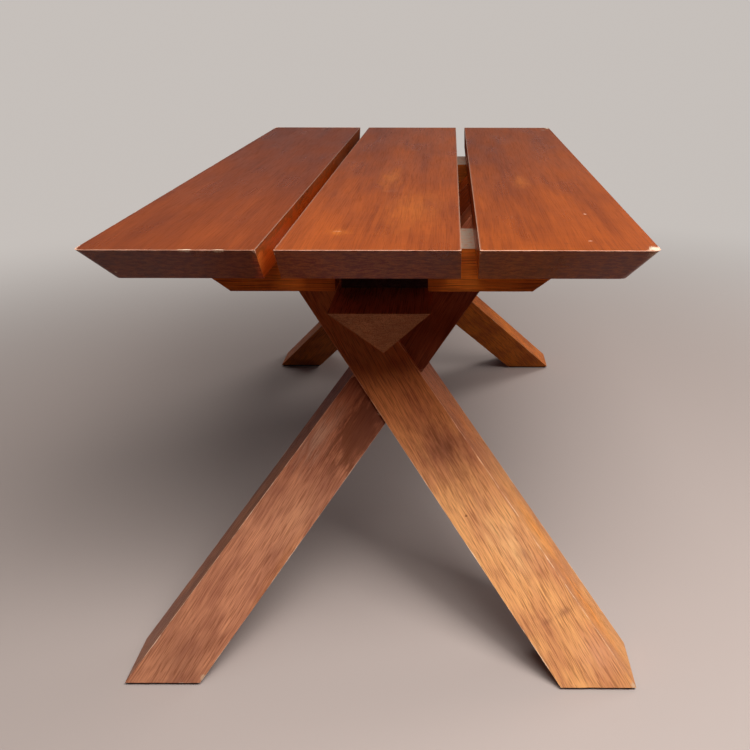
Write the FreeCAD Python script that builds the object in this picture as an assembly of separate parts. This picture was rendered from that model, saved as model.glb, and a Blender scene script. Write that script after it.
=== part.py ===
"""Sawbuck table: a slotted plank top on two crossed trestles that lean in under the top.

X runs across the table, Y along it and Z up. The origin is on the floor under the middle of the top.
"""
import FreeCAD, Part
import math
import os
from FreeCAD import Vector

os.makedirs("parts", exist_ok=True)

# Top
table_height = 720.0
top_length = 1566.0
plank_thickness = 52.0
outer_plank_width = 249.0
middle_plank_width = 257.0
plank_gap = 25.0
end_undercut = 47.0
side_undercut = 36.0

# Cleats
cleat_setback = 234.0
cleat_width = 156.0
cleat_height = 72.0
cleat_lower_length = 498.0
cleat_end_run = 98.0

# Trestles: the lean is measured from the vertical along the table, the slope from the floor across it
trestle_lean_deg = 40.3
leg_slope_deg = 49.1
leg_level_width = 122.4
leg_level_depth = 115.4
foot_overreach = 23.0
lap_step = 10.0

# Foot pads
pad_thickness = 5.0
pad_inset = 5.0

# Beam and rail
beam_depth = 95.0
beam_end_setback = 161.0
rail_width = 152.0
rail_thickness = 56.0
rail_end_setback = 79.0
notch_height = 40.0
notch_clearance = 0.5

# Fasteners
screw_diameter = 7.0
screw_head_diameter = 13.0
screw_head_height = 4.5
screw_point = 8.0
screw_slot_width = 1.6
screw_slot_depth = 1.8
screw_recess_diameter = 16.0
plank_screw_recess = 22.0
plank_screw_grip = 34.0
rail_screw_recess = 6.0
rail_screw_grip = 42.0
rail_screw_lead = 46.0
lap_screw_recess = 6.0
lap_screw_grip = 30.0
lap_screw_offset = 22.0
coach_diameter = 10.0
coach_head_across = 17.0
coach_head_height = 7.0
coach_point = 10.0
coach_recess_diameter = 26.0
washer_diameter = 24.0
washer_thickness = 2.0
cleat_coach_recess = 12.0
cleat_coach_grip = 38.0
cleat_coach_spacing = 84.0
beam_coach_recess = 14.0
beam_coach_grip = 70.0
dowel_diameter = 14.0
dowel_length = 50.0
dowel_spacing = 38.0
bore_clearance = 0.1
overrun = 4.0

outer_screw_shares = (0.28, 0.78)
middle_screw_share = 0.84
screw_row_share = 0.22
inner_rail_screw_share = 0.48

# Worked out from the sizes above
lean = math.tan(math.radians(trestle_lean_deg))
run = 1 / math.tan(math.radians(leg_slope_deg))
half_length = top_length / 2
slot_inner = middle_plank_width / 2
slot_outer = slot_inner + plank_gap
half_width = slot_outer + outer_plank_width
underside = table_height - plank_thickness
cleat_face = half_length - cleat_setback
cleat_middle = cleat_face - cleat_width / 2
cleat_bottom = underside - cleat_height
foot_face = half_length + foot_overreach
lap_middle = (leg_level_depth + lap_step) / 2
rail_top = cleat_bottom + notch_height
beam_top = rail_top - rail_thickness
beam_apex = beam_top - beam_depth
crossing_height = beam_apex - leg_level_width / 2 / run
beam_half_width = beam_depth * run
beam_half_length = half_length - beam_end_setback
rail_half_length = cleat_face - rail_end_setback
lean_axis = Vector(0, lean, 1)
face_normal = Vector(0, 1, -lean)
up = Vector(0, 0, 1)


def ring(x_low, x_high, y_low, y_high, z):
    """Corners of a level rectangle, in order."""
    corners = ((x_low, y_low), (x_high, y_low), (x_high, y_high), (x_low, y_high))
    return [Vector(x, y, z) for x, y in corners]


def flat_face(points):
    return Part.Face(Part.makePolygon(points + points[:1]))


def slab(lower, upper):
    """Flat-sided solid between two rings of corners."""
    faces = [flat_face(lower), flat_face(upper)]
    for index in range(len(lower)):
        following = (index + 1) % len(lower)
        faces.append(flat_face([lower[index], lower[following], upper[following], upper[index]]))
    return Part.Solid(Part.Shell(faces))


def half_turn(shape):
    """The same piece at the other end of the table."""
    turned = shape.copy()
    turned.rotate(Vector(0, 0, 0), up, 180)
    return turned


def place(shape, point, direction):
    """Moves a piece made along +Z so that it starts at a point and runs in a direction."""
    placed = shape.copy()
    placed.Placement = FreeCAD.Placement(point, FreeCAD.Rotation(up, direction))
    return placed


def export(node, *solids):
    shape = solids[0] if len(solids) == 1 else Part.makeCompound(list(solids))
    shape.exportStep("parts/" + node + ".step")


# Screws and bolts, each made with its seat at the origin and its shank along +Z

def wood_screw(length):
    """Slotted screw with a conical head below its seat level and a pointed end."""
    radius = screw_diameter / 2
    head = Part.makeCone(screw_head_diameter / 2, radius, screw_head_height)
    shank = Part.makeCylinder(radius, length - screw_point)
    point = Part.makeCone(radius, 0, screw_point, Vector(0, 0, length - screw_point))
    slot = Part.makeBox(screw_head_diameter, screw_slot_width, screw_slot_depth,
                        Vector(-screw_head_diameter / 2, -screw_slot_width / 2, 0))
    return head.fuse([shank, point]).removeSplitter().cut(slot)


def wood_screw_hole(length, recess):
    """Room for a wood screw: its head, its shank and the recess that it is driven through."""
    radius = screw_diameter / 2 + bore_clearance
    head = Part.makeCone(screw_head_diameter / 2 + bore_clearance, radius, screw_head_height)
    shank = Part.makeCylinder(radius, length - screw_point)
    point = Part.makeCone(radius, bore_clearance, screw_point, Vector(0, 0, length - screw_point))
    mouth = Part.makeCylinder(screw_recess_diameter / 2, recess + overrun, Vector(0, 0, -recess - overrun))
    return head.fuse([shank, point, mouth]).removeSplitter()


def hexagon(across, height):
    corner = across / math.sqrt(3)
    points = [Vector(corner * math.cos(math.radians(a)), corner * math.sin(math.radians(a)), 0)
              for a in range(0, 360, 60)]
    return flat_face(points).extrude(Vector(0, 0, height))


def coach_screw(length):
    """Hexagon-headed wood screw whose head sits on a washer."""
    radius = coach_diameter / 2
    shank = Part.makeCylinder(radius, length - coach_point)
    point = Part.makeCone(radius, 0, coach_point, Vector(0, 0, length - coach_point))
    head = hexagon(coach_head_across, coach_head_height)
    head.translate(Vector(0, 0, -coach_head_height))
    return head.fuse([shank, point]).removeSplitter()


def washer():
    ring_plate = Part.makeCylinder(washer_diameter / 2, washer_thickness)
    return ring_plate.cut(Part.makeCylinder(coach_diameter / 2 + bore_clearance, washer_thickness))


def coach_hole(length, recess):
    radius = coach_diameter / 2 + bore_clearance
    shank = Part.makeCylinder(radius, length - coach_point)
    point = Part.makeCone(radius, bore_clearance, coach_point, Vector(0, 0, length - coach_point))
    mouth = Part.makeCylinder(coach_recess_diameter / 2, recess + overrun + washer_thickness,
                              Vector(0, 0, -recess - overrun))
    return mouth.fuse([shank, point]).removeSplitter()


# Places of the fasteners at the front end, as start points and directions

def plank_screw_points():
    """Two screws for each plank, up through the cleat, in two staggered rows."""
    reach = cleat_lower_length / 2 - slot_outer
    across = [slot_outer + share * reach for share in outer_screw_shares]
    across.append(middle_screw_share * slot_inner)
    seat = cleat_bottom + plank_screw_recess
    points = []
    for index, x in enumerate(across):
        row = screw_row_share * cleat_width * (-1) ** index
        points += [Vector(side * x, -cleat_middle + side * row, seat) for side in (-1, 1)]
    return points


def cleat_coach_points():
    seat = underside - cleat_coach_recess
    along = -cleat_middle + rail_end_setback / 2
    return [Vector(side * cleat_coach_spacing / 2, along, seat) for side in (-1, 1)]


def beam_coach_points():
    """One coach screw down the middle of each leg of a crossing, along the trestle's lean."""
    seat = beam_top - beam_coach_recess
    front = -foot_face + (seat - pad_thickness) * lean
    quarter = lap_middle / 2
    return [Vector(0, front + quarter, seat), Vector(0, front + lap_middle + quarter, seat)]


def rail_screw_points():
    """Four screws on the middle line: two outside the trestles and two between them."""
    seat = rail_top - rail_screw_recess
    outer, inner = beam_coach_points()
    along = (outer.y - rail_screw_lead, inner.y * inner_rail_screw_share)
    return [Vector(0, end * y, seat) for y in along for end in (-1, 1)]


def lap_screw_points():
    """Two screws square to the trestle, from its inner face, that pass the lap at the crossing's middle."""
    lap = Vector(0, -foot_face + lap_middle + (crossing_height - pad_thickness) * lean, crossing_height)
    seat = lap + Vector(face_normal).normalize() * (lap_middle / face_normal.Length - lap_screw_recess)
    return [seat + Vector(side * lap_screw_offset, 0, 0) for side in (-1, 1)]


def head_dowel_points():
    """Two dowels in the head of each leg, upright, half in the leg and half in the plank."""
    across = (underside - crossing_height) * run
    middle = -foot_face + leg_level_depth / 2 + (underside - pad_thickness) * lean
    seat = underside - dowel_length / 2
    points = []
    for side, step in ((-1, 0), (1, lap_step)):
        points += [Vector(side * across, middle + step + end * dowel_spacing / 2, seat) for end in (-1, 1)]
    return points


plank_screw_length = cleat_height - plank_screw_recess + plank_screw_grip
cleat_coach_length = cleat_height - notch_height - cleat_coach_recess + cleat_coach_grip
rail_screw_length = rail_thickness - rail_screw_recess + rail_screw_grip
beam_coach_length = (beam_depth - beam_coach_recess) * lean_axis.Length + beam_coach_grip
lap_screw_length = lap_middle / face_normal.Length - lap_screw_recess + lap_screw_grip


def at_points(shape, points, direction):
    return [place(shape, point, direction) for point in points]


def both_ends(shape, points, direction):
    solids = at_points(shape, points, direction)
    return solids + [half_turn(solid) for solid in solids]


# Fasteners are cut out of the wood as groups of bores
plank_bores = both_ends(wood_screw_hole(plank_screw_length, plank_screw_recess), plank_screw_points(), up)
cleat_bores = both_ends(coach_hole(cleat_coach_length, cleat_coach_recess), cleat_coach_points(), -up)
rail_bores = at_points(wood_screw_hole(rail_screw_length, rail_screw_recess), rail_screw_points(), -up)
beam_bores = both_ends(coach_hole(beam_coach_length, beam_coach_recess), beam_coach_points(), -lean_axis)
lap_bores = both_ends(wood_screw_hole(lap_screw_length, lap_screw_recess), lap_screw_points(), -face_normal)
dowel_hole = Part.makeCylinder(dowel_diameter / 2 + bore_clearance, dowel_length)
dowel_bores = both_ends(dowel_hole, head_dowel_points(), up)


# Top planks: the ends are undercut all round, and so are the two outer long edges

def plank(x_low, x_high, undercut_low, undercut_high):
    upper = ring(x_low, x_high, -half_length, half_length, table_height)
    lower = ring(x_low + undercut_low, x_high - undercut_high,
                 -half_length + end_undercut, half_length - end_undercut, underside)
    return slab(lower, upper).cut(plank_bores + dowel_bores)


# Cleats: a cross bar with undercut ends, notched below where it crosses the rail

def cleat():
    half = cleat_lower_length / 2
    back = -cleat_face + cleat_width
    upper = ring(-half - cleat_end_run, half + cleat_end_run, -cleat_face, back, underside)
    lower = ring(-half, half, -cleat_face, back, cleat_bottom)
    notch_half = rail_width / 2 + notch_clearance
    notch = Part.makeBox(2 * notch_half, cleat_width + 2 * overrun, notch_height + overrun,
                         Vector(-notch_half, -cleat_face - overrun, cleat_bottom - overrun))
    return slab(lower, upper).cut([notch] + plank_bores + cleat_bores)


# Legs: level rectangles carried up a slanting axis, so that the side faces run level along the table

def leg_bar(side, near, far):
    """Bar whose foot is on one side (-1 left, 1 right), between two depths behind the trestle's front."""
    rings = []
    for z in (pad_thickness, underside):
        x = side * (crossing_height - z) * run
        y = -foot_face + (z - pad_thickness) * lean
        rings.append(ring(x - leg_level_width / 2, x + leg_level_width / 2, y + near, y + far, z))
    return slab(*rings)


def front_legs():
    """The right foot's leg stands proud by the lap step, and each leg gives up half of the crossing."""
    right = leg_bar(1, 0, leg_level_depth)
    left = leg_bar(-1, lap_step, lap_step + leg_level_depth)
    right_front = leg_bar(1, 0, lap_middle)
    left_back = leg_bar(-1, lap_middle, lap_step + leg_level_depth)
    bores = beam_bores + lap_bores + dowel_bores
    return left.cut(right_front).cut(bores), right.cut(left_back).cut(bores)


def foot_pad(side, depth):
    """Flat pad glued under a foot, a little smaller than its sole."""
    x = side * (crossing_height - pad_thickness) * run
    half = leg_level_width / 2 - pad_inset
    y = -foot_face + depth
    sole = [x - half, x + half, y + pad_inset, y + leg_level_depth - pad_inset]
    return slab(ring(*sole, 0), ring(*sole, pad_thickness))


# Beam: V section seated in the upper V of both crossings, with ends undercut at the trestles' lean

def beam():
    section = flat_face([Vector(0, -beam_half_length, beam_apex),
                         Vector(beam_half_width, -beam_half_length, beam_top),
                         Vector(-beam_half_width, -beam_half_length, beam_top)])
    lower_half_length = beam_half_length - beam_depth * lean
    profile = flat_face([Vector(-beam_half_width, -beam_half_length, beam_top),
                         Vector(-beam_half_width, beam_half_length, beam_top),
                         Vector(-beam_half_width, lower_half_length, beam_apex),
                         Vector(-beam_half_width, -lower_half_length, beam_apex)])
    bar = section.extrude(Vector(0, 2 * beam_half_length, 0))
    return bar.common(profile.extrude(Vector(2 * beam_half_width, 0, 0))).cut(beam_bores + rail_bores)


# Rail: flat bar on the beam that carries the cleats

def rail():
    corners = [-rail_width / 2, rail_width / 2, -rail_half_length, rail_half_length]
    return slab(ring(*corners, beam_top), ring(*corners, rail_top)).cut(rail_bores + cleat_bores)


export("top_plank_left", plank(-half_width, -slot_outer, side_undercut, 0))
export("top_plank_middle", plank(-slot_inner, slot_inner, 0, 0))
export("top_plank_right", plank(slot_outer, half_width, 0, side_undercut))

cleat_front = cleat()
export("cleat_front", cleat_front)
export("cleat_rear", half_turn(cleat_front))

leg_front_left, leg_front_right = front_legs()
export("leg_front_left", leg_front_left)
export("leg_front_right", leg_front_right)
export("leg_rear_right", half_turn(leg_front_left))
export("leg_rear_left", half_turn(leg_front_right))

pad_front_left = foot_pad(-1, lap_step)
pad_front_right = foot_pad(1, 0)
export("foot_pad_front_left", pad_front_left)
export("foot_pad_front_right", pad_front_right)
export("foot_pad_rear_right", half_turn(pad_front_left))
export("foot_pad_rear_left", half_turn(pad_front_right))

export("v_beam", beam())
export("rail", rail())

plank_screws = at_points(wood_screw(plank_screw_length), plank_screw_points(), up)
cleat_coaches = at_points(coach_screw(cleat_coach_length), cleat_coach_points(), -up)
cleat_washers = at_points(washer(), cleat_coach_points(), -up)
beam_coaches = at_points(coach_screw(beam_coach_length), beam_coach_points(), -lean_axis)
beam_washers = at_points(washer(), beam_coach_points(), -lean_axis)
lap_screws = at_points(wood_screw(lap_screw_length), lap_screw_points(), -face_normal)
head_dowels = at_points(Part.makeCylinder(dowel_diameter / 2, dowel_length), head_dowel_points(), up)

end_groups = {"plank_screws": plank_screws,
              "cleat_coach_screws": cleat_coaches,
              "cleat_washers": cleat_washers,
              "beam_coach_screws": beam_coaches,
              "beam_washers": beam_washers,
              "lap_screws": lap_screws,
              "head_dowels": head_dowels}
for group, solids in end_groups.items():
    export(group + "_front", *solids)
    export(group + "_rear", *[half_turn(solid) for solid in solids])

export("rail_screws", *at_points(wood_screw(rail_screw_length), rail_screw_points(), -up))
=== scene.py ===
import math

import bmesh
import bpy
from mathutils import Matrix, Vector, noise


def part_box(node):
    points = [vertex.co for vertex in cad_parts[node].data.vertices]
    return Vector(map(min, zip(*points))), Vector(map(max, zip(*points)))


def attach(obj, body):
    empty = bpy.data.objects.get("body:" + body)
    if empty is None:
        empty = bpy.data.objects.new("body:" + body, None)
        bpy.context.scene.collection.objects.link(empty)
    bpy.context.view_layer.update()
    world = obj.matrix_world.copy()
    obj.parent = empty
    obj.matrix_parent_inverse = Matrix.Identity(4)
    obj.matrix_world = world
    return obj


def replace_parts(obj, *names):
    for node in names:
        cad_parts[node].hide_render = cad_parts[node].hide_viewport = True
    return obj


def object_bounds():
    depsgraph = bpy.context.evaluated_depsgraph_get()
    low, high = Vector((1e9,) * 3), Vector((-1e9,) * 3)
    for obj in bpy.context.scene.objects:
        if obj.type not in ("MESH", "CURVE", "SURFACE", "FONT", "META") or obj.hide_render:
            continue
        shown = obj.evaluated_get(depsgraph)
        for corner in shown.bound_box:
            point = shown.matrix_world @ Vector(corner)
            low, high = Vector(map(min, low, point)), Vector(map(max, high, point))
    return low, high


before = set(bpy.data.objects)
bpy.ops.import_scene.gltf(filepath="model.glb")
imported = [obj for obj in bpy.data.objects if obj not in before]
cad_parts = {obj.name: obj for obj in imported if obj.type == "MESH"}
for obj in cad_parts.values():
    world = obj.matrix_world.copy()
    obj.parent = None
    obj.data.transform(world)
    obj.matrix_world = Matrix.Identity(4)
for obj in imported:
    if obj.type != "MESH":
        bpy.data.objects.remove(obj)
cad_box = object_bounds()


# Legs: four bars of open-grained reddish hardwood, half-lapped in pairs into crossed trestles that lean
# in under the top. They are sawn and planed, eased along their arrises and finished with a satin varnish
# that is rubbed pale along the edges, with chips at the two front feet. On the front right leg the pale
# edge lines are also painted highlight.

cloud_low = 0.3
cloud_high = 0.7


def node(tree, kind, inputs=(), **settings):
    """One shader node. The inputs give a value or another node's output for each socket."""
    made = tree.nodes.new("ShaderNode" + kind)
    for name, value in settings.items():
        setattr(made, name, value)
    for socket, value in dict(inputs).items():
        if isinstance(value, bpy.types.NodeSocket):
            tree.links.new(value, made.inputs[socket])
        else:
            made.inputs[socket].default_value = value
    return made


def calculate(tree, operation, first, second=0.0):
    return node(tree, "Math", {0: first, 1: second}, operation=operation).outputs[0]


def share(tree, value, part):
    return calculate(tree, "MULTIPLY", value, part)


def ramp(tree, value, low, high, start=0.0, end=1.0):
    """Value carried smoothly from one range to another."""
    sockets = {"Value": value, "From Min": low, "From Max": high, "To Min": start, "To Max": end}
    return node(tree, "MapRange", sockets, interpolation_type="SMOOTHSTEP").outputs["Result"]


def blend(tree, amount, first, second):
    return node(tree, "Mix", {0: amount, 6: first, 7: second}, data_type="RGBA").outputs[2]


def tinted(tree, amount, colour, tint):
    sockets = {0: amount, 6: colour, 7: tint}
    return node(tree, "Mix", sockets, data_type="RGBA", blend_type="MULTIPLY").outputs[2]


def stretched(tree, place, along, across):
    """Coordinates with the grain along X, scaled differently along and across it."""
    return node(tree, "Mapping", {"Vector": place, "Scale": (along, across, across)}).outputs["Vector"]


def clouds(tree, place, scale=1.0, detail=2.0, roughness=0.5):
    sockets = {"Vector": place, "Scale": scale, "Detail": detail, "Roughness": roughness}
    return node(tree, "TexNoise", sockets).outputs[0]


def contrast(tree, cloud):
    """Clouds carried from their usual range to the whole range from 0 to 1."""
    return ramp(tree, cloud, cloud_low, cloud_high)


def effect_group(name, inputs, outputs):
    """An empty node group with its named sockets, and its two end nodes."""
    tree = bpy.data.node_groups.new(name, "ShaderNodeTree")
    for socket, kind in inputs.items():
        tree.interface.new_socket(socket, in_out="INPUT", socket_type="NodeSocket" + kind)
    for socket in outputs:
        tree.interface.new_socket(socket, in_out="OUTPUT", socket_type="NodeSocketFloat")
    return tree, tree.nodes.new("NodeGroupInput"), tree.nodes.new("NodeGroupOutput")


grain_sway = (0.0, 0.022, 0.022)
ring_turns = 120.0


def hardwood_grain():
    """Streaks, lines, pores, growth, figure, bands and cross fleck of hardwood with its grain along X."""
    outputs = ("Streaks", "Lines", "Pores", "Growth", "Figure", "Bands", "Fleck")
    tree, start, end = effect_group("hardwood_grain", {"Place": "Vector"}, outputs)
    place = start.outputs["Place"]
    sockets = {"Vector": stretched(tree, place, 1.3, 7.0), "Scale": 1.0, "Detail": 2.0}
    drift = node(tree, "TexNoise", sockets).outputs["Color"]
    centred = node(tree, "VectorMath", {0: drift, 1: (0.5, 0.5, 0.5)}, operation="SUBTRACT").outputs[0]
    sway = node(tree, "VectorMath", {0: centred, 1: grain_sway}, operation="MULTIPLY").outputs[0]
    wavy = node(tree, "VectorMath", {0: place, 1: sway}, operation="ADD").outputs[0]
    streaks = contrast(tree, clouds(tree, stretched(tree, wavy, 7.0, 480.0), roughness=0.6))
    lines = contrast(tree, clouds(tree, stretched(tree, wavy, 4.0, 130.0), detail=3.0, roughness=0.6))
    dashes = ramp(tree, clouds(tree, stretched(tree, wavy, 14.0, 640.0), detail=1.0), 0.49, 0.60)
    pores = calculate(tree, "MULTIPLY", dashes, ramp(tree, streaks, 0.2, 0.9, 1.0, 0.4))
    contours = clouds(tree, stretched(tree, wavy, 0.9, 9.0), detail=1.0)
    rings = calculate(tree, "SINE", share(tree, contours, ring_turns))
    growth = ramp(tree, rings, 0.45, 1.0)
    figure = contrast(tree, clouds(tree, stretched(tree, place, 5.5, 17.0)))
    bands = contrast(tree, clouds(tree, stretched(tree, place, 1.3, 9.0), detail=4.0, roughness=0.55))
    fleck = contrast(tree, clouds(tree, stretched(tree, place, 150.0, 24.0), detail=3.0, roughness=0.6))
    for socket, value in zip(outputs, (streaks, lines, pores, growth, figure, bands, fleck)):
        tree.links.new(value, end.inputs[socket])
    return tree


wear_fringe = 0.16


def arris_wear():
    """Mask of bare wood where the finish is rubbed off, from the mesh's own wear attribute."""
    sockets = {"Place": "Vector", "Worn": "Float", "Reach": "Float"}
    tree, start, end = effect_group("arris_wear", sockets, ["Bare"])
    patches = clouds(tree, start.outputs["Place"], scale=14.0, detail=6.0, roughness=0.75)
    level = calculate(tree, "ADD", start.outputs["Worn"], patches)
    edge = calculate(tree, "SUBTRACT", level, start.outputs["Reach"])
    tree.links.new(ramp(tree, edge, 0.0, wear_fringe), end.inputs["Bare"])
    return tree


def use_marks():
    """Marks of use: fine scratches across the grain, small dents and darker smudges."""
    outputs = ("Scratches", "Dents", "Smudges")
    tree, start, end = effect_group("use_marks", {"Place": "Vector"}, outputs)
    place = start.outputs["Place"]
    strokes = ramp(tree, clouds(tree, stretched(tree, place, 330.0, 16.0), detail=1.0), 0.70, 0.76)
    handled = ramp(tree, clouds(tree, place, scale=5.0, detail=2.0), 0.45, 0.62)
    scratches = calculate(tree, "MULTIPLY", strokes, handled)
    cells = node(tree, "TexVoronoi", {"Vector": place, "Scale": 17.0})
    pits = ramp(tree, cells.outputs["Distance"], 0.03, 0.055, 1.0, 0.0)
    some = ramp(tree, node(tree, "SeparateColor", {0: cells.outputs["Color"]}).outputs[0], 0.80, 0.81)
    dents = calculate(tree, "MULTIPLY", pits, some)
    smudges = ramp(tree, clouds(tree, place, scale=7.0, detail=5.0, roughness=0.6), 0.55, 0.75)
    for socket, value in zip(outputs, (scratches, dents, smudges)):
        tree.links.new(value, end.inputs[socket])
    return tree


mark_edge = 1.7
mark_raggedness = 1.6


def local_mark():
    """Ragged mask of one mark at a given place, with its reach along, across and through the grain."""
    sockets = {"Place": "Vector", "Centre": "Vector", "Spread": "Vector", "Softness": "Float"}
    tree, start, end = effect_group("local_mark", sockets, ["Mark"])
    place, centre, spread, softness = [start.outputs[socket] for socket in sockets]
    away = node(tree, "VectorMath", {0: place, 1: centre}, operation="SUBTRACT").outputs[0]
    scaled = node(tree, "VectorMath", {0: away, 1: spread}, operation="DIVIDE").outputs[0]
    distance = node(tree, "VectorMath", {0: scaled}, operation="LENGTH").outputs["Value"]
    fringe = clouds(tree, stretched(tree, place, 30.0, 130.0), detail=4.0, roughness=0.65)
    edge = calculate(tree, "ADD", distance, share(tree, fringe, mark_raggedness))
    full = calculate(tree, "SUBTRACT", mark_edge, softness)
    tree.links.new(ramp(tree, edge, full, mark_edge, 1.0, 0.0), end.inputs["Mark"])
    return tree


slot_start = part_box("top_plank_middle")[1].x
slot_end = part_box("top_plank_right")[0].x
# Dust and painted sheen: pale beige where dust and light fall through the slots onto the parts below.
dust_and_sheen_outside = 0.003
dust_and_sheen_inside = 0.002
dust_and_sheen_bottom = 0.45
dust_and_sheen_top = 0.52
dust_and_sheen_colour = (0.50, 0.39, 0.29, 1)


def slot_dust_and_sheen():
    """Mask of the dust and painted sheen of light that fall through the two slots in the top onto what lies
    below.
    """
    tree, start, end = effect_group("slot_dust_and_sheen", {"Spot": "Vector", "Upward": "Float"}, ["Dust"])
    spot = node(tree, "SeparateXYZ", {0: start.outputs["Spot"]})
    across = calculate(tree, "ABSOLUTE", spot.outputs["X"])
    past_start = ramp(tree, across, slot_start - dust_and_sheen_outside, slot_start + dust_and_sheen_inside)
    before_end = ramp(tree, across, slot_end - dust_and_sheen_inside, slot_end + dust_and_sheen_outside, 1.0, 0.0)
    inside = calculate(tree, "MULTIPLY", past_start, before_end)
    high = ramp(tree, spot.outputs["Z"], dust_and_sheen_bottom, dust_and_sheen_top)
    patchy = ramp(tree, clouds(tree, start.outputs["Spot"], scale=120.0, detail=4.0), 0.25, 0.6, 0.5, 1.0)
    dust_and_sheen = calculate(tree, "MULTIPLY", calculate(tree, "MULTIPLY", inside, high), patchy)
    tree.links.new(calculate(tree, "MULTIPLY", dust_and_sheen, start.outputs["Upward"]), end.inputs["Dust"])
    return tree


grain_group = hardwood_grain()
wear_group = arris_wear()
marks_group = use_marks()
mark_group = local_mark()
dust_and_sheen_group = slot_dust_and_sheen()
end_grain_tint = (0.56, 0.22, 0.03, 1)
# Painted shade: the wood turns darker and redder between these heights, for the shade under the top.
painted_shade_tint = (0.85, 0.36, 0.16, 1)
painted_shade_start = 0.20
painted_shade_end = 0.42
# Marks at least this strong get crisp edges (chips, dots, a painted shadow edge and painted light on a slot
# wall); weaker marks fade softly.
crisp_mark_strength = 0.7
crisp_mark_softness = 0.5
soft_mark_softness = 1.3
end_mottle = (60.0, 70.0, 320.0)
figure_dulling = 0.05
bare_dulling = 0.25
pore_dulling = 0.3
streak_relief = 0.3
relief_depth = 0.0005


def varnished_wood(name, along, offset, colours, look, places=()):
    """Grain along one direction under a satin varnish, marked by use and rubbed through at the arrises,
    with painted shade higher up.
    """
    dark, light, pore, bare = [(*colour, 1) for colour in colours]
    material = bpy.data.materials.new(name)
    material.use_nodes = True
    tree = material.node_tree
    shader = tree.nodes["Principled BSDF"]
    turn = along.to_track_quat("X", "Z").inverted()
    spot = node(tree, "TexCoord").outputs["Object"]
    sockets = {"Vector": spot, "Rotation": turn.to_euler(), "Location": offset}
    place = node(tree, "Mapping", sockets).outputs["Vector"]
    grain = node(tree, "Group", node_tree=grain_group)
    marks = node(tree, "Group", node_tree=marks_group)
    wear = node(tree, "Group", node_tree=wear_group)
    tree.links.new(stretched(tree, place, look["stride"], 1.0), grain.inputs["Place"])
    for group in (marks, wear):
        tree.links.new(place, group.inputs["Place"])
    tree.links.new(node(tree, "Attribute", attribute_name="worn").outputs["Fac"], wear.inputs["Worn"])
    wear.inputs["Reach"].default_value = look["reach"]
    tone = share(tree, grain.outputs["Figure"], look["figure"])
    for part in ("Streaks", "Fleck", "Bands", "Lines"):
        tone = calculate(tree, "ADD", tone, share(tree, grain.outputs[part], look[part.lower()]))
    wood = blend(tree, tone, dark, light)
    wood = blend(tree, share(tree, grain.outputs["Growth"], look["growth"]), wood, dark)
    for part, colour in (("Smudges", dark), ("Scratches", bare), ("Dents", bare)):
        wood = blend(tree, share(tree, marks.outputs[part], look[part.lower()]), wood, colour)
    # Given marks: stains, chips, dots and tone patches, and also painted shadows, painted shade and painted
    # light.
    for colour, strength, centre, spread in places:
        softness = crisp_mark_softness if strength >= crisp_mark_strength else soft_mark_softness
        middle = turn @ Vector(centre) + Vector(offset)
        sockets = {"Place": place, "Centre": middle, "Spread": spread, "Softness": softness}
        mark = node(tree, "Group", sockets, node_tree=mark_group)
        wood = blend(tree, share(tree, mark.outputs["Mark"], strength), wood, (*colour, 1))
    wood = blend(tree, share(tree, grain.outputs["Pores"], look["pores"]), wood, pore)
    wood = blend(tree, wear.outputs["Bare"], wood, bare)
    end_grain = node(tree, "Attribute", attribute_name="end_grain").outputs["Fac"]
    drawn_out = node(tree, "Mapping", {"Vector": place, "Scale": end_mottle}).outputs["Vector"]
    mottle = ramp(tree, clouds(tree, drawn_out, detail=3.0, roughness=0.7), 0.40, 0.60)
    open_ends = share(tree, calculate(tree, "MULTIPLY", end_grain, mottle), look["end_grain"])
    wood = tinted(tree, open_ends, wood, end_grain_tint)
    upward = node(tree, "Attribute", attribute_name="upward").outputs["Fac"]
    # Pale beige below the slots: dust, and also painted sheen of the light falling through them.
    dust_and_sheen = node(tree, "Group", {"Spot": spot, "Upward": upward}, node_tree=dust_and_sheen_group)
    wood = blend(tree, dust_and_sheen.outputs["Dust"], wood, dust_and_sheen_colour)
    # Painted shade: darker and redder higher up, where the table top shades the legs.
    height_up = node(tree, "SeparateXYZ", {0: spot}).outputs["Z"]
    painted_shade_share = ramp(tree, height_up, painted_shade_start, painted_shade_end, 0.0, look["painted_shade"])
    wood = tinted(tree, painted_shade_share, wood, painted_shade_tint)
    tree.links.new(wood, shader.inputs["Base Color"])
    gloss = calculate(tree, "ADD", share(tree, grain.outputs["Figure"], figure_dulling), look["roughness"])
    gloss = calculate(tree, "ADD", gloss, share(tree, wear.outputs["Bare"], bare_dulling))
    open_pores = share(tree, grain.outputs["Pores"], look["pores"] * pore_dulling)
    gloss = calculate(tree, "ADD", gloss, open_pores)
    tree.links.new(gloss, shader.inputs["Roughness"])
    ridges = share(tree, grain.outputs["Streaks"], streak_relief)
    fibres = calculate(tree, "SUBTRACT", ridges, grain.outputs["Pores"])
    height = calculate(tree, "ADD", share(tree, fibres, look["fibre_depth"]), grain.outputs["Lines"])
    height = calculate(tree, "SUBTRACT", height, marks.outputs["Dents"])
    bump = node(tree, "Bump", {"Height": height, "Strength": look["bump"], "Distance": relief_depth})
    tree.links.new(bump.outputs["Normal"], shader.inputs["Normal"])
    shader.inputs["Specular IOR Level"].default_value = look["sheen"]
    return material


arris_round = 0.0020
arris_segments = 3
arris_strip = 0.0056
slice_length = 0.010
chip_depth = 0.0016
chip_pitch = 60
chip_threshold = 0.15
splinter_pitch = 190
splinter_share = 0.4
plane_slack = 0.0001
same_point = plane_slack / 10
broad_face = 0.00025
sharp_angle = math.radians(30)
flat_angle = math.radians(0.5)
same_direction = 0.9999
facing_out = 0.5
facing_along = 0.6
facing_up = 0.8


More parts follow.
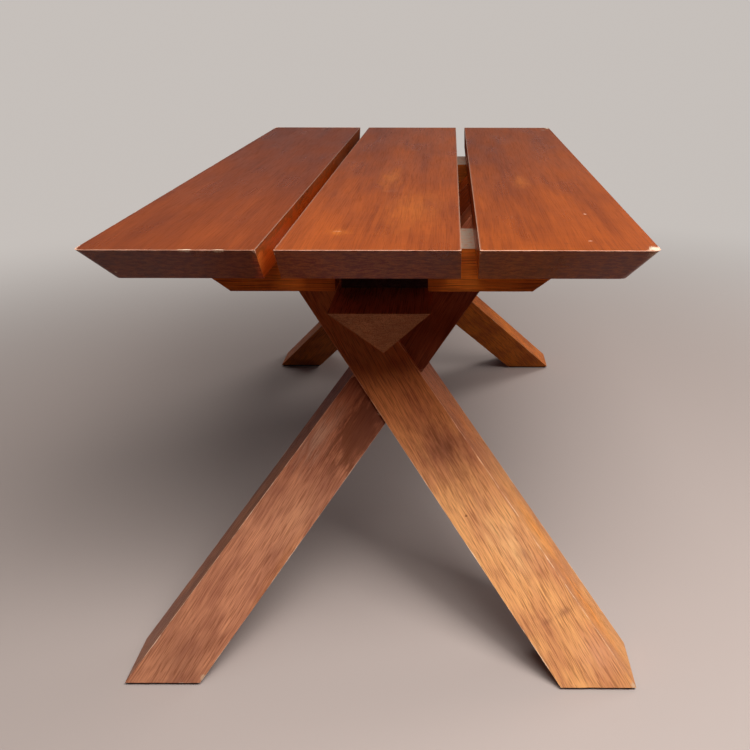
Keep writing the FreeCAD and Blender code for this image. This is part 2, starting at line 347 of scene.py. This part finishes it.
def lies_on(face, planes):
    middle = face.calc_center_median()
    return any(face.normal.dot(normal) > same_direction and abs((middle - point).dot(normal)) < plane_slack
               for point, normal in planes)


def broad_planes(mesh):
    """The planes of a solid's broad flat faces, each as a point and a normal."""
    found = []
    for face in mesh.faces:
        if face.calc_area() > broad_face and not lies_on(face, found):
            found.append((face.calc_center_median(), face.normal.copy()))
    return found


def cut(mesh, point, normal):
    geometry = mesh.verts[:] + mesh.edges[:] + mesh.faces[:]
    bmesh.ops.bisect_plane(mesh, geom=geometry, plane_co=point, plane_no=normal)


def round_edges(mesh, edges, radius, segments):
    return bmesh.ops.bevel(mesh, geom=edges, offset=radius, offset_type="OFFSET", segments=segments,
                           profile=0.5, affect="EDGES", material=-1, clamp_overlap=True)


def new_piece(name, mesh, material):
    data = bpy.data.meshes.new(name)
    mesh.to_mesh(data)
    mesh.free()
    data.materials.clear()
    data.materials.append(material)
    piece = bpy.data.objects.new(name, data)
    bpy.context.scene.collection.objects.link(piece)
    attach(piece, "root")
    return piece


def merged_copy(name):
    """A CAD node's mesh with its triangles joined into whole flat faces."""
    mesh = bmesh.new()
    mesh.from_mesh(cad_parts[name].data)
    bmesh.ops.remove_doubles(mesh, verts=mesh.verts, dist=same_point)
    bmesh.ops.dissolve_limit(mesh, angle_limit=flat_angle, verts=mesh.verts, edges=mesh.edges)
    return mesh


def wear_arrises(mesh, along, wear):
    """Rounds and chips a bar's arrises in short slices, and writes how worn each point of them is, and
    which points of the outer faces are on end grain or look up."""
    worn = mesh.verts.layers.float.new("worn")
    end_grain = mesh.verts.layers.float.new("end_grain")
    upward = mesh.verts.layers.float.new("upward")
    planes = broad_planes(mesh)
    outer = [(c, n) for c, n in planes if all((v.co - c).dot(n) < plane_slack for v in mesh.verts)]
    for centre, normal in outer:
        cut(mesh, centre - normal * arris_strip, normal)
    reach = [v.co.dot(along) for v in mesh.verts]
    low = min(reach)
    length = max(reach) - low
    count = int(length / slice_length)
    for index in range(1, count):
        cut(mesh, along * (low + length * index / count), along)
    arrises = [e for e in mesh.edges if e.is_manifold and e.is_convex and e.calc_face_angle() > sharp_angle
               and all(lies_on(f, planes) for f in e.link_faces)]
    rounded = round_edges(mesh, arrises, arris_round, arris_segments)
    mesh.normal_update()
    for face in mesh.faces:
        face.smooth = not lies_on(face, planes)
    for vertex in rounded["verts"]:
        vertex[worn] = wear(vertex.co)
        splinters = splinter_share * noise.noise(vertex.co * splinter_pitch)
        bite = noise.noise(vertex.co * chip_pitch) + splinters - chip_threshold
        vertex.co -= vertex.normal * max(0.0, bite) * chip_depth * vertex[worn]
        for centre, normal in outer:
            vertex.co -= normal * max(0.0, (vertex.co - centre).dot(normal))
    for face in mesh.faces:
        middle = face.calc_center_median()
        if not any(face.normal.dot(n) > facing_out and (c - middle).dot(n) < arris_strip for c, n in outer):
            continue
        for vertex in face.verts:
            if abs(face.normal.dot(along)) > facing_along:
                vertex[end_grain] = 1.0
            if face.normal.z > facing_up:
                vertex[upward] = 1.0


leg_names = ("leg_front_left", "leg_front_right", "leg_rear_left", "leg_rear_right")
leg_bare = (0.62, 0.40, 0.25)
# Pale rubbed wood at the front right leg's arrises, also painted highlight lines along them.
pale_wear_and_highlight = (0.98, 0.64, 0.40)
pink_arris = (0.72, 0.45, 0.31)
leg_pore = (0.160, 0.042, 0.012)
orange_leg = ((0.50, 0.170, 0.075), (0.96, 0.452, 0.150), leg_pore, pale_wear_and_highlight)
pink_leg = ((0.26, 0.081, 0.047), (0.71, 0.286, 0.142), leg_pore, pink_arris)
brown_leg = ((0.34, 0.066, 0.016), (0.82, 0.220, 0.042), leg_pore, leg_bare)
rust_leg = ((0.42, 0.082, 0.014), (0.98, 0.275, 0.036), leg_pore, leg_bare)
leg_colours = (pink_leg, orange_leg, brown_leg, rust_leg)
leg_gold = (0.80, 0.300, 0.055)
pale_pink = (0.740, 0.330, 0.160)
dull_pink = (0.300, 0.114, 0.062)
# Painted sheen: a pale pink-grey patch of reflected light on the front left leg near the crossing.
painted_sheen_pink = (0.660, 0.450, 0.320)
# Painted shadow: dark brown where the top and the other leg shade the front legs.
painted_shadow_brown = (0.150, 0.042, 0.014)
violet_smudge = (0.270, 0.092, 0.050)
pink_wood = (0.740, 0.330, 0.190)
# Painted light: pale gold where the front right leg catches light low down and above its crossing.
painted_light_gold = (0.98, 0.530, 0.210)
# Painted light: bright orange on the front right leg's side strip, which faces the lamps.
painted_light_orange = (1.00, 0.330, 0.030)
# Painted shade: dark brown on the front left leg's outer side strip.
painted_shade_brown = (0.115, 0.040, 0.020)
# Front left leg: painted shadows near the crossing and higher up, a painted sheen patch and painted shade
# on the outer side strip, with tone patches and a foot chip.
left_leg_marks = ((painted_shadow_brown, 0.56, (-0.020, -0.470, 0.390), (0.170, 0.090, 0.090)),
                  (painted_shadow_brown, 0.45, (0.100, -0.385, 0.500), (0.140, 0.090, 0.090)),
                  (painted_sheen_pink, 0.68, (-0.112, -0.519, 0.332), (0.110, 0.036, 0.036)),
                  (painted_shadow_brown, 0.72, (-0.046, -0.517, 0.334), (0.130, 0.050, 0.050)),
                  (leg_gold, 0.31, (-0.176, -0.682, 0.140), (0.140, 0.020, 0.020)),
                  (pale_pink, 0.40, (-0.150, -0.620, 0.213), (0.130, 0.055, 0.055)),
                  (dull_pink, 0.68, (-0.335, -0.782, 0.030), (0.130, 0.120, 0.120)),
                  (painted_shade_brown, 0.65, (-0.250, -0.613, 0.186), (0.130, 0.040, 0.040)),
                  (painted_shade_brown, 0.65, (-0.322, -0.680, 0.099), (0.130, 0.040, 0.040)),
                  (leg_bare, 0.70, (-0.290, -0.790, 0.012), (0.007, 0.006, 0.006)))
# Front right leg: painted light low down and above the crossing, painted shadows about the crossing and
# painted light on the side strip, with tone patches, smudges, a dot and a foot chip.
right_leg_marks = ((painted_light_gold, 0.68, (0.216, -0.657, 0.180), (0.120, 0.050, 0.050)),
                   (painted_light_gold, 0.69, (-0.085, -0.392, 0.493), (0.140, 0.080, 0.080)),
                   (painted_shadow_brown, 0.69, (0.100, -0.545, 0.314), (0.170, 0.105, 0.105)),
                   (painted_shadow_brown, 0.50, (0.104, -0.546, 0.311), (0.050, 0.060, 0.060)),
                   (pink_wood, 0.54, (0.360, -0.770, 0.048), (0.075, 0.060, 0.060)),
                   (painted_light_orange, 0.69, (0.270, -0.600, 0.187), (0.160, 0.055, 0.055)),
                   (painted_light_orange, 0.69, (0.145, -0.464, 0.348), (0.120, 0.055, 0.055)),
                   (painted_light_orange, 0.69, (0.355, -0.705, 0.075), (0.120, 0.050, 0.050)),
                   (violet_smudge, 0.69, (0.3306, -0.7163, 0.1108), (0.020, 0.020, 0.020)),
                   (violet_smudge, 0.69, (0.3048, -0.7289, 0.0959), (0.012, 0.026, 0.026)),
                   (violet_smudge, 0.60, (0.2744, -0.7393, 0.0836), (0.011, 0.026, 0.026)),
                   (violet_smudge, 0.65, (0.2407, -0.6682, 0.1675), (0.028, 0.012, 0.012)),
                   (leg_pore, 0.85, (0.141, -0.625, 0.218), (0.003, 0.003, 0.003)),
                   (leg_bare, 0.90, (0.413, -0.803, 0.009), (0.010, 0.008, 0.008)))
leg_marks = (left_leg_marks, right_leg_marks, (), ())
leg_look = {"stride": 2.2, "figure": 0.42, "streaks": 0.33, "lines": 0.15, "fleck": 0.0,
            "bands": 0.0, "growth": 0.12, "pores": 0.44, "end_grain": 0.5, "smudges": 0.12,
            "scratches": 0.0, "dents": 0.3, "reach": 1.22, "painted_shade": 0.7, "roughness": 0.38,
            "sheen": 0.07, "bump": 0.35, "fibre_depth": 1.0}
leg_grain_step = (0.37, 0.11, 0.0)
grain_slant = 0.14
foot_height = 0.03
foot_wear = 0.72
leg_arris_wear = 0.86
upright = Vector((0, 0, 1))


def leg_axis(name):
    """Direction from a leg's foot to its head, from the middles of its lowest and highest faces."""
    points = [v.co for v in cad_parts[name].data.vertices]
    ends = []
    for level in (min(p.z for p in points), max(p.z for p in points)):
        ring = [p for p in points if abs(p.z - level) < plane_slack]
        ends.append(Vector([(min(p[i] for p in ring) + max(p[i] for p in ring)) / 2 for i in range(3)]))
    return (ends[1] - ends[0]).normalized()


def leg_wear(point):
    return foot_wear if point.z < foot_height else leg_arris_wear


for index, leg_name in enumerate(leg_names):
    axis = leg_axis(leg_name)
    bar = merged_copy(leg_name)
    face_normal = max(bar.faces, key=lambda face: abs(face.normal.y) * face.calc_area()).normal
    steeper = (upright - face_normal * upright.dot(face_normal)).normalized()
    grain_line = (axis + steeper * grain_slant).normalized()
    wear_arrises(bar, axis, leg_wear)
    offset = [step * index for step in leg_grain_step]
    finish = varnished_wood("varnished_" + leg_name, grain_line, offset, leg_colours[index], leg_look,
                            leg_marks[index])
    leg = new_piece(leg_name + "_worn", bar, finish)
    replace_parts(leg, leg_name)


# Foot pads: thin pieces of dark pressed felt, cut a little smaller than each sole and glued under it.
# Their edges are pressed round by the table's weight.

pad_names = ("foot_pad_front_left", "foot_pad_front_right", "foot_pad_rear_left", "foot_pad_rear_right")
pad_round = 0.0012
pad_segments = 2
felt_dark = (0.006, 0.005, 0.004, 1)
felt_light = (0.040, 0.032, 0.027, 1)
felt_relief = 0.6
felt_depth = 0.0008
felt_roughness = 0.95


def pressed_felt():
    material = bpy.data.materials.new("pressed_felt")
    material.use_nodes = True
    tree = material.node_tree
    shader = tree.nodes["Principled BSDF"]
    fibres = clouds(tree, node(tree, "TexCoord").outputs["Object"], scale=900.0, detail=4.0, roughness=0.7)
    tree.links.new(blend(tree, fibres, felt_dark, felt_light), shader.inputs["Base Color"])
    bump = node(tree, "Bump", {"Height": fibres, "Strength": felt_relief, "Distance": felt_depth})
    tree.links.new(bump.outputs["Normal"], shader.inputs["Normal"])
    shader.inputs["Roughness"].default_value = felt_roughness
    return material


felt = pressed_felt()
for pad_name in pad_names:
    sheet = merged_copy(pad_name)
    round_edges(sheet, sheet.edges[:], pad_round, pad_segments)
    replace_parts(new_piece(pad_name + "_felt", sheet, felt), pad_name)


# Screws, coach screws and washers: zinc-plated steel, driven in recesses on faces that the table hides.
# They are turned and rolled parts, so the CAD shapes stay and only get their plating.

steel_names = [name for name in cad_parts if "screws" in name or "washers" in name]
zinc_dark = (0.34, 0.33, 0.30, 1)
zinc_light = (0.62, 0.60, 0.55, 1)
zinc_bright = 0.32
zinc_dull = 0.55


def zinc_plate():
    material = bpy.data.materials.new("zinc_plate")
    material.use_nodes = True
    tree = material.node_tree
    shader = tree.nodes["Principled BSDF"]
    spangle = clouds(tree, node(tree, "TexCoord").outputs["Object"], scale=260.0, detail=3.0)
    gloss = ramp(tree, spangle, cloud_low, cloud_high, zinc_bright, zinc_dull)
    tree.links.new(blend(tree, spangle, zinc_dark, zinc_light), shader.inputs["Base Color"])
    tree.links.new(gloss, shader.inputs["Roughness"])
    shader.inputs["Metallic"].default_value = 1.0
    return material


zinc = zinc_plate()
for steel_name in steel_names:
    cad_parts[steel_name].data.materials.clear()
    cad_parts[steel_name].data.materials.append(zinc)


# Head dowels: plain beech pegs, glued upright into the leg heads and the outer planks.
# They are hidden in the joints, so the CAD shapes stay and only get their wood.

beech_colours = ((0.42, 0.25, 0.13), (0.60, 0.42, 0.25), (0.30, 0.16, 0.08), (0.60, 0.45, 0.30))
beech_look = {**leg_look, "smudges": 0.0, "roughness": 0.6, "reach": 3.0}
beech = varnished_wood("plain_beech", upright, (0, 0, 0), beech_colours, beech_look)
for dowel_name in ("head_dowels_front", "head_dowels_rear"):
    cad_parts[dowel_name].data.materials.clear()
    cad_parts[dowel_name].data.materials.append(beech)


# Beam, rail and cleats: the long V-section beam lies in the crossings, the flat rail is screwed on top of
# it, and the two notched cleats cross the rail under the planks. All are varnished like the top, browner
# on the beam, and their arrises are little rubbed. The rail's near-black colour is painted shade for the
# deep shadow it sits in.

frame_pore = (0.060, 0.012, 0.004)
frame_bare = (0.42, 0.22, 0.12)
cleat_colours = ((0.46, 0.073, 0.008), (0.98, 0.230, 0.022), frame_pore, frame_bare)
beam_colours = ((0.32, 0.115, 0.050), (0.66, 0.270, 0.125), frame_pore, frame_bare)
# Painted shade: the rail is near-black for the deep shade above the beam under the planks.
rail_painted_shade_colours = ((0.075, 0.025, 0.016), (0.150, 0.056, 0.034), frame_pore, frame_bare)
frame_look = {"stride": 1.0, "figure": 0.4, "streaks": 0.4, "lines": 0.1, "fleck": 0.1,
              "bands": 0.0, "growth": 0.3, "pores": 0.5, "end_grain": 0.35, "smudges": 0.4,
              "scratches": 0.2, "dents": 0.2, "reach": 1.35, "painted_shade": 0.0, "roughness": 0.48,
              "sheen": 0.12, "bump": 0.25, "fibre_depth": 1.0}
frame_grain_step = (0.5, 0.2, 0.0)
frame_arris_wear = 0.6
lengthwise = Vector((0, 1, 0))
crosswise = Vector((1, 0, 0))
# Painted light: the right part of the front cleat's face is brighter orange, for the light from the right.
painted_light_cleat = (1.00, 0.260, 0.025)
front_painted_light = ((painted_light_cleat, 0.60, (0.185, -0.549, 0.606), (0.110, 0.045, 0.045)),)
# Painted shade: the rear cleat is near-black under the right slot, for the shade of the planks.
slot_painted_shade = ((frame_pore, 0.69, (0.145, 0.393, 0.650), (0.045, 0.040, 0.040)),)
frame_bars = {"v_beam": (lengthwise, beam_colours, ()),
              "rail": (lengthwise, rail_painted_shade_colours, ()),
              "cleat_front": (crosswise, cleat_colours, front_painted_light),
              "cleat_rear": (crosswise, cleat_colours, slot_painted_shade)}


def frame_wear(point):
    return frame_arris_wear


# The cleats' given marks are painted light and painted shade.
for index, (bar_name, (axis, colours, painted_light_and_shade)) in enumerate(frame_bars.items()):
    bar = merged_copy(bar_name)
    wear_arrises(bar, axis, frame_wear)
    offset = [step * index for step in frame_grain_step]
    finish = varnished_wood("varnished_" + bar_name, axis, offset, colours, frame_look, painted_light_and_shade)
    piece = new_piece(bar_name + "_worn", bar, finish)
    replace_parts(piece, bar_name)


# Top planks: three thick boards of reddish hardwood with an open slot between them, undercut at both ends
# and along the outer edges, and held from below. The satin varnish is faded in patches, stained, chipped
# and worn through to pale wood along the upper arrises, most of all at the four outer corners.

plank_names = ("top_plank_left", "top_plank_middle", "top_plank_right")
top_pore = (0.130, 0.026, 0.006)
top_bare = (0.92, 0.51, 0.35)
top_chip = (0.95, 0.78, 0.56)
golden = (0.80, 0.215, 0.020)
# Painted light: the left plank's slot wall is lighter orange all along and palest at its near end, for the
# light reaching into the slot.
painted_light_slot = (0.62, 0.072, 0.005)
painted_light_slot_end = (0.90, 0.240, 0.045)
stain = (0.130, 0.026, 0.008)
# Left plank: chips and worn spots at the arrises, with painted light on its slot wall.
left_marks = ((top_chip, 0.8, (-0.4020, -0.7760, 0.714), (0.010, 0.010, 0.012)),
              (top_chip, 1.0, (-0.2487, -0.7815, 0.72), (0.005, 0.012, 0.006)),
              (top_chip, 1.0, (-0.2038, -0.7815, 0.72), (0.004, 0.010, 0.006)),
              (top_chip, 0.8, (-0.3601, -0.7466, 0.680), (0.004, 0.003, 0.003)),
              (painted_light_slot, 0.75, (-slot_end, -0.450, 0.680), (1.000, 0.014, 0.045)),
              (painted_light_slot_end, 0.68, (-slot_end, -0.765, 0.692), (0.070, 0.014, 0.040)),
              (top_bare, 0.5, (-0.2554, 0.7391, 0.72), (0.020, 0.010, 0.004)))
middle_marks = ((golden, 0.60, (-0.006, -0.150, 0.72), (0.200, 0.034, 0.02)),
                (golden, 0.36, (0.050, -0.480, 0.72), (0.280, 0.080, 0.02)),
                (golden, 0.50, (-0.050, -0.665, 0.72), (0.036, 0.030, 0.02)),
                (top_bare, 0.45, (0.007, -0.3104, 0.72), (0.004, 0.022, 0.01)),
                (top_bare, 0.45, (-0.054, -0.6600, 0.72), (0.004, 0.012, 0.01)))
right_marks = ((top_chip, 0.95, (0.4000, -0.7720, 0.714), (0.020, 0.020, 0.024)),
               (golden, 0.55, (0.2507, -0.2056, 0.72), (0.110, 0.026, 0.02)),
               (stain, 0.50, (0.2775, -0.7386, 0.72), (0.007, 0.008, 0.01)),
               (stain, 0.35, (0.3084, -0.3390, 0.72), (0.012, 0.007, 0.01)),
               (stain, 0.30, (0.1868, -0.5009, 0.72), (0.024, 0.009, 0.01)),
               (top_bare, 0.70, (0.3320, -0.5250, 0.72), (0.006, 0.004, 0.01)),
               (top_bare, 0.70, (0.3136, -0.7225, 0.72), (0.004, 0.005, 0.01)),
               (top_bare, 0.65, (0.2117, -0.5507, 0.72), (0.004, 0.004, 0.01)),
               (top_chip, 0.80, (0.3960, 0.7700, 0.72), (0.030, 0.008, 0.010)),
               (top_bare, 0.50, (0.3806, 0.7226, 0.72), (0.030, 0.014, 0.01)))
plank_marks = (left_marks, middle_marks, right_marks)
left_plank_colours = ((0.172, 0.029, 0.004), (0.400, 0.079, 0.012), top_pore, top_bare)
middle_plank_colours = ((0.198, 0.033, 0.004), (0.529, 0.107, 0.012), top_pore, top_bare)
right_plank_colours = ((0.186, 0.031, 0.003), (0.495, 0.099, 0.008), top_pore, top_bare)
plank_colours = (left_plank_colours, middle_plank_colours, right_plank_colours)
top_look = {"stride": 1.0, "figure": 0.1, "streaks": 0.15, "lines": 0.25, "fleck": 0.1,
            "bands": 0.4, "growth": 0.0, "pores": 0.25, "end_grain": 1.0, "smudges": 0.0,
            "scratches": 0.0, "dents": 0.5, "reach": 1.30, "painted_shade": 0.0, "roughness": 0.27,
            "sheen": 0.28, "bump": 0.03, "fibre_depth": 0.0}
top_grain_step = (0.6, 0.3, 0.0)
corner_round = 0.008
corner_segments = 4
corner_reach = 0.03
top_edge = max(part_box(name)[1].x for name in plank_names)
top_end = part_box(plank_names[0])[1].y
top_level = cad_box[1].z
low_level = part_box(plank_names[0])[0].z
under_wear = 0.5
corner_wear = 1.25
side_wear = 0.68
right_end_wear = 1.20
end_wear = 1.10
outer_edge_wear = 0.78
right_slot_wear = 0.66
left_slot_wear = 0.5


def plank_wear(point):
    """Wear is least underneath and along the left slot, more along the right slot and the long edges,
    and most at the ends and the outer corners."""
    if point.z < low_level + arris_strip:
        return under_wear
    to_end = top_end - abs(point.y)
    to_edge = top_edge - abs(point.x)
    if to_end < corner_reach and to_edge < corner_reach:
        return corner_wear
    if point.z < top_level - arris_strip:
        return side_wear
    if to_end < arris_strip:
        return right_end_wear if point.x > slot_start else end_wear
    if to_edge < arris_strip:
        return outer_edge_wear
    return right_slot_wear if point.x > 0 else left_slot_wear


def is_outer_corner(edge):
    """The four slanting edges where an undercut end meets an undercut long side."""
    across = [abs(v.co.x) for v in edge.verts]
    rise = abs(edge.verts[0].co.z - edge.verts[1].co.z)
    return max(across) > top_edge - plane_slack and rise > corner_reach


for index, plank_name in enumerate(plank_names):
    board = merged_copy(plank_name)
    corners = [edge for edge in board.edges if is_outer_corner(edge)]
    if corners:
        round_edges(board, corners, corner_round, corner_segments)
    wear_arrises(board, lengthwise, plank_wear)
    offset = [step * index for step in top_grain_step]
    finish = varnished_wood("varnished_" + plank_name, lengthwise, offset, plank_colours[index], top_look,
                            plank_marks[index])
    plank = new_piece(plank_name + "_worn", board, finish)
    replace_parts(plank, plank_name)


# Studio: a plain pale floor with a low rim that hides the horizon, a dim-walled room with a bright ceiling,
# two soft lamps in front on the right and a weak one behind on the right, and the camera where the
# photograph was taken from.

floor_radius = 80.0
rim_height = 3.0
floor_seen = (0.49, 0.405, 0.365, 1)
floor_bounce = (0.20, 0.15, 0.115, 1)
floor_start = 20.0
floor_sides = 64
floor_roughness = 0.9
floor_sheen = 0.1
backdrop_start = 0.9
backdrop_full = 3.2
backdrop_glow = (0.56, 0.52, 0.49, 1)
reflected_share = 0.03
black = (0, 0, 0, 1)
skirting_glow = (0.37, 0.40, 0.45, 1)
wall_glow = (0.016, 0.020, 0.030, 1)
ceiling_glow = (1.0, 0.99, 0.98, 1)
skirting_top = 0.06
wall_bottom = 0.165
wall_top = 0.74
ceiling_middle = 1.0
lamp_target = Vector((0.1, -0.7, 0.3))
key_place = Vector((1.05, -1.55, 2.25))
key_size = 1.2
key_power = 40.0
window_place = Vector((0.40, -1.95, 2.60))
window_size = 1.5
window_power = 36.0
fill_place = Vector((1.90, 1.60, 1.70))
fill_size = 1.2
fill_power = 20.0
image_pixels = 750
lens_pixels = 917.8
axis_pixel = 450.3
sensor_width = 36.0
camera_place = (0.1135, -2.0117, 1.0105)
camera_tilt = math.radians(68.98)
camera_roll = math.radians(0.10)


def background_rays(tree):
    """The eye and clear material see all of the pale background. Reflections show a small share of it,
    because the whole of it would turn the varnish milky."""
    rays = node(tree, "LightPath")
    direct = calculate(tree, "MAXIMUM", rays.outputs["Is Camera Ray"], rays.outputs["Is Transmission Ray"])
    mirrored = share(tree, rays.outputs["Is Glossy Ray"], reflected_share)
    return calculate(tree, "MAXIMUM", direct, mirrored)


def pale_paint():
    """Pale to the eye and in reflections, darker for the light that it throws back under the table."""
    material = bpy.data.materials.new("pale_paint")
    material.use_nodes = True
    tree = material.node_tree
    shader = tree.nodes["Principled BSDF"]
    rays = node(tree, "LightPath")
    seen = calculate(tree, "MAXIMUM", rays.outputs["Is Camera Ray"], rays.outputs["Is Glossy Ray"])
    seen = calculate(tree, "MAXIMUM", seen, rays.outputs["Is Transmission Ray"])
    spot = node(tree, "TexCoord").outputs["Object"]
    distance = node(tree, "VectorMath", {0: spot}, operation="LENGTH").outputs["Value"]
    far = ramp(tree, distance, backdrop_start, backdrop_full)
    lit = calculate(tree, "MULTIPLY", far, background_rays(tree))
    tree.links.new(blend(tree, lit, black, backdrop_glow), shader.inputs["Emission Color"])
    pale = blend(tree, seen, floor_bounce, floor_seen)
    tree.links.new(blend(tree, far, pale, black), shader.inputs["Base Color"])
    shader.inputs["Emission Strength"].default_value = 1.0
    shader.inputs["Roughness"].default_value = floor_roughness
    shader.inputs["Specular IOR Level"].default_value = floor_sheen
    return material


floor_mesh = bmesh.new()
bmesh.ops.create_circle(floor_mesh, cap_ends=True, segments=floor_sides, radius=floor_start)
rim = bmesh.ops.extrude_edge_only(floor_mesh, edges=floor_mesh.edges[:])["geom"]
rim_points = [part for part in rim if isinstance(part, bmesh.types.BMVert)]
widening = floor_radius / floor_start
bmesh.ops.scale(floor_mesh, vec=(widening, widening, 1), verts=rim_points)
bmesh.ops.translate(floor_mesh, vec=(0, 0, rim_height), verts=rim_points)
floor_data = bpy.data.meshes.new("floor")
floor_mesh.to_mesh(floor_data)
floor_mesh.free()
floor_data.materials.append(pale_paint())
floor = bpy.data.objects.new("floor", floor_data)
bpy.context.scene.collection.objects.link(floor)

world = bpy.data.worlds.new("room")
bpy.context.scene.world = world
world.use_nodes = True
room_tree = world.node_tree
direction = node(room_tree, "TexCoord").outputs["Generated"]
rise = node(room_tree, "SeparateXYZ", {0: direction}).outputs["Z"]
wall = blend(room_tree, ramp(room_tree, rise, skirting_top, wall_bottom), skirting_glow, wall_glow)
glow = blend(room_tree, ramp(room_tree, rise, wall_top, ceiling_middle), wall, ceiling_glow)
seen = blend(room_tree, background_rays(room_tree), glow, backdrop_glow)
room_tree.links.new(seen, room_tree.nodes["Background"].inputs["Color"])


def soft_lamp(name, place, size, power):
    lamp = bpy.data.lights.new(name, "AREA")
    lamp.size = size
    lamp.energy = power
    holder = bpy.data.objects.new(name, lamp)
    holder.location = place
    holder.rotation_euler = (lamp_target - place).to_track_quat("-Z", "Y").to_euler()
    bpy.context.scene.collection.objects.link(holder)


soft_lamp("key", key_place, key_size, key_power)
soft_lamp("window", window_place, window_size, window_power)
soft_lamp("fill", fill_place, fill_size, fill_power)

lens = bpy.data.cameras.new("camera")
lens.sensor_width = sensor_width
lens.lens = sensor_width * lens_pixels / image_pixels
lens.shift_x = (image_pixels / 2 - axis_pixel) / image_pixels
camera = bpy.data.objects.new("camera", lens)
turn = Matrix.Rotation(camera_tilt, 4, "X") @ Matrix.Rotation(camera_roll, 4, "Z")
camera.matrix_world = Matrix.Translation(camera_place) @ turn
bpy.context.scene.collection.objects.link(camera)
bpy.context.scene.camera = camera
bpy.context.scene.view_settings.view_transform = "Standard"
